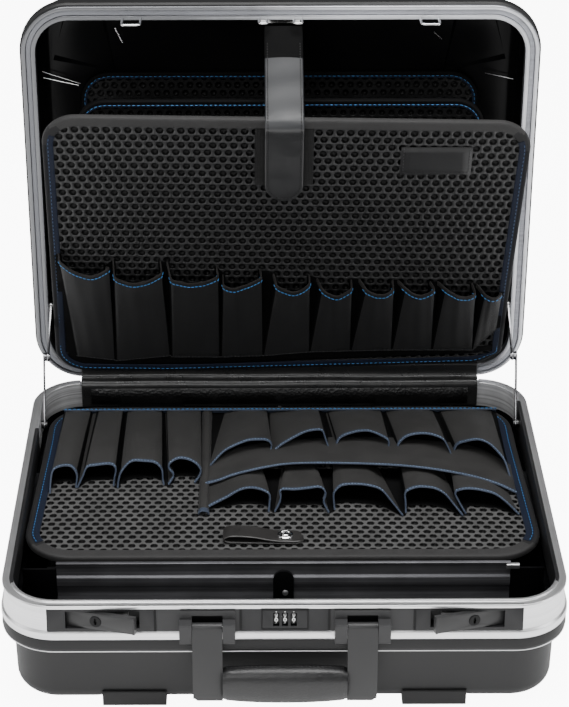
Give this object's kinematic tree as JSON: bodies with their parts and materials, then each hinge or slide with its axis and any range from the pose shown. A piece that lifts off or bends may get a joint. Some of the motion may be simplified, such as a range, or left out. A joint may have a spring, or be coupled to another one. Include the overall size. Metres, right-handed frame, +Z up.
{
  "type": "tool case with a hinged lid",
  "caption": "Open hard tool case with metal rims, rocker locks, a combination lock, a folding handle, lid stays and pocketed tool boards.",
  "frame": {"origin": "on the floor under the feet, below the middle of the open case's outline", "axes": "+X to the right seen from the locks' side, +Y from the locks to the hinge, +Z up"},
  "size_m": [0.4588, 0.4528, 0.4662],
  "materials": {
    "shell": "fine orange-peel texture, semi-matt outside and glossy inside",
    "frame": "satin brushed along its length",
    "rubber": "matt",
    "lock_plastic": "fine matt texture",
    "lever_metal": "satin dark grey paint",
    "steel": "bright plated",
    "grip": "grained, worn satin",
    "board_fabric": "dimpled panel with a woven binding and blue stitches",
    "pocket_fabric": "close weave with a blue-grey hem",
    "leatherette": "grained, semi-gloss",
    "dial": "black wheels with white digits"
  },
  "bodies": {
    "base": {"base_shell": "shell", "base_frame": "frame", "feet": "rubber", "lock_case_left": "lock_plastic", "lock_case_right": "lock_plastic", "lever_pins": "steel", "combination_case": "lock_plastic", "dial_shaft": "steel", "handle_bracket_left": "lock_plastic", "handle_bracket_right": "lock_plastic", "handle_pins": "steel", "hinge_leaf_base": "steel", "hinge_pin": "steel", "hinge_cover_base": "leatherette", "divider_front": "frame", "divider_cross": "frame", "divider_clips": "lock_plastic", "divider_brackets": "lock_plastic", "tray_ledges": "lock_plastic", "stay_rivets_base": "steel"},
    "lid": {"lid_shell": "shell", "lid_frame": "frame", "lid_seal": "rubber", "hasp_loops": "steel", "hinge_leaf_lid": "steel", "hinge_cover_lid": "leatherette", "board_spine": "pocket_fabric", "board_back": "board_fabric", "strap_anchor": "steel", "strap": "leatherette", "stay_rivets_lid": "steel"},
    "front_board": {"board_front": "board_fabric", "board_front_pockets": "pocket_fabric", "label_pocket": "pocket_fabric", "strap_patch": "pocket_fabric"},
    "middle_board": {"board_middle": "board_fabric"},
    "tray": {"tray_board": "board_fabric", "tray_pockets_left": "pocket_fabric", "tray_pockets_right": "pocket_fabric", "tray_band": "pocket_fabric", "pull_loop": "leatherette", "press_stud": "steel"},
    "handle": {"handle_arms": "lock_plastic", "handle_grip": "grip"},
    "lever_left": {"lever_left": "lever_metal"},
    "lever_right": {"lever_right": "lever_metal"},
    "key_left": {"key_left": "lever_metal"},
    "key_right": {"key_right": "lever_metal"},
    "catch_left": {"catch_left": "steel"},
    "catch_right": {"catch_right": "steel"},
    "dial_1": {"dial_1": "dial"},
    "dial_2": {"dial_2": "dial"},
    "dial_3": {"dial_3": "dial"},
    "stay_base_left": {"stay_base_left": "steel"},
    "stay_base_right": {"stay_base_right": "steel"},
    "stay_lid_left": {"stay_lid_left": "steel"},
    "stay_lid_right": {"stay_lid_right": "steel"}
  },
  "joints": [
    {"name": "lid_hinge", "type": "hinge", "parent": "base", "child": "lid", "pos_m": [0, 0.16143, 0.102], "axis": [-1, 0, 0], "range_deg": [-91.16, 0]},
    {"name": "handle_swing", "type": "hinge", "parent": "base", "child": "handle", "pos_m": [0, -0.21017, 0.0865], "axis": [-1, 0, 0], "range_deg": [0, 90]},
    {"name": "tray_lift", "type": "slide", "parent": "base", "child": "tray", "axis": [0, 0, 1], "range_m": [0, 0.095]},
    {"name": "front_board_tilt", "type": "hinge", "parent": "lid", "child": "front_board", "pos_m": [0, 0.16678, 0.1194], "axis": [-1, 0, 0], "range_deg": [0, 18.7], "deforming": ["strap"]},
    {"name": "middle_board_tilt", "type": "hinge", "parent": "lid", "child": "middle_board", "pos_m": [0, 0.18778, 0.11897], "axis": [-1, 0, 0], "range_deg": [0, 8]},
    {"name": "dial_1_turn", "type": "hinge", "parent": "base", "child": "dial_1", "pos_m": [-0.0069, -0.19974, 0.0897], "axis": [1, 0, 0], "continuous": true},
    {"name": "dial_2_turn", "type": "hinge", "parent": "base", "child": "dial_2", "pos_m": [0, -0.19974, 0.0897], "axis": [1, 0, 0], "continuous": true},
    {"name": "dial_3_turn", "type": "hinge", "parent": "base", "child": "dial_3", "pos_m": [0.0069, -0.19974, 0.0897], "axis": [1, 0, 0], "continuous": true},
    {"name": "lever_left_turn", "type": "hinge", "parent": "base", "child": "lever_left", "pos_m": [-0.158, -0.20167, 0.09041], "axis": [0, -0.1038, -0.9946], "range_deg": [-16, 0]},
    {"name": "key_left_turn", "type": "hinge", "parent": "lever_left", "child": "key_left", "pos_m": [-0.1496, -0.20655, 0.08991], "axis": [-0.2756, -0.9561, 0.0998], "range_deg": [0, 90]},
    {"name": "catch_left_slide", "type": "slide", "parent": "base", "child": "catch_left", "axis": [0, 0.9946, -0.1038], "range_m": [0, 0.004]},
    {"name": "stay_base_left_turn", "type": "hinge", "parent": "base", "child": "stay_base_left", "pos_m": [-0.2147, 0.09343, 0.093], "axis": [-1, 0, 0], "range_deg": [-110.81, 0]},
    {"name": "stay_lid_left_turn", "type": "hinge", "parent": "lid", "child": "stay_lid_left", "pos_m": [-0.211, 0.16635, 0.17692], "axis": [-1, 0, 0], "range_deg": [0, 108.54]},
    {"name": "lever_right_turn", "type": "hinge", "parent": "base", "child": "lever_right", "pos_m": [0.158, -0.20167, 0.09041], "axis": [0, 0.1038, 0.9946], "range_deg": [-16, 0]},
    {"name": "key_right_turn", "type": "hinge", "parent": "lever_right", "child": "key_right", "pos_m": [0.1496, -0.20655, 0.08991], "axis": [0.2756, -0.9561, 0.0998], "range_deg": [0, 90]},
    {"name": "catch_right_slide", "type": "slide", "parent": "base", "child": "catch_right", "axis": [0, 0.9946, -0.1038], "range_m": [0, 0.004]},
    {"name": "stay_base_right_turn", "type": "hinge", "parent": "base", "child": "stay_base_right", "pos_m": [0.2147, 0.09343, 0.093], "axis": [-1, 0, 0], "range_deg": [-110.81, 0]},
    {"name": "stay_lid_right_turn", "type": "hinge", "parent": "lid", "child": "stay_lid_right", "pos_m": [0.211, 0.16635, 0.17692], "axis": [-1, 0, 0], "range_deg": [0, 108.54]}
  ],
  "couplings": [
    {"joint": "front_board_tilt", "follows": "lid_hinge", "ratio": -0.20513},
    {"joint": "middle_board_tilt", "follows": "lid_hinge", "ratio": -0.087758},
    {"joint": "catch_left_slide", "follows": "lever_left_turn", "m_per_rad": -0.014323},
    {"joint": "stay_base_left_turn", "follows": "lid_hinge", "ratio": 1.2155},
    {"joint": "stay_lid_left_turn", "follows": "lid_hinge", "ratio": -1.1907},
    {"joint": "catch_right_slide", "follows": "lever_right_turn", "m_per_rad": -0.014323},
    {"joint": "stay_base_right_turn", "follows": "lid_hinge", "ratio": 1.2155},
    {"joint": "stay_lid_right_turn", "follows": "lid_hinge", "ratio": -1.1907}
  ]
}
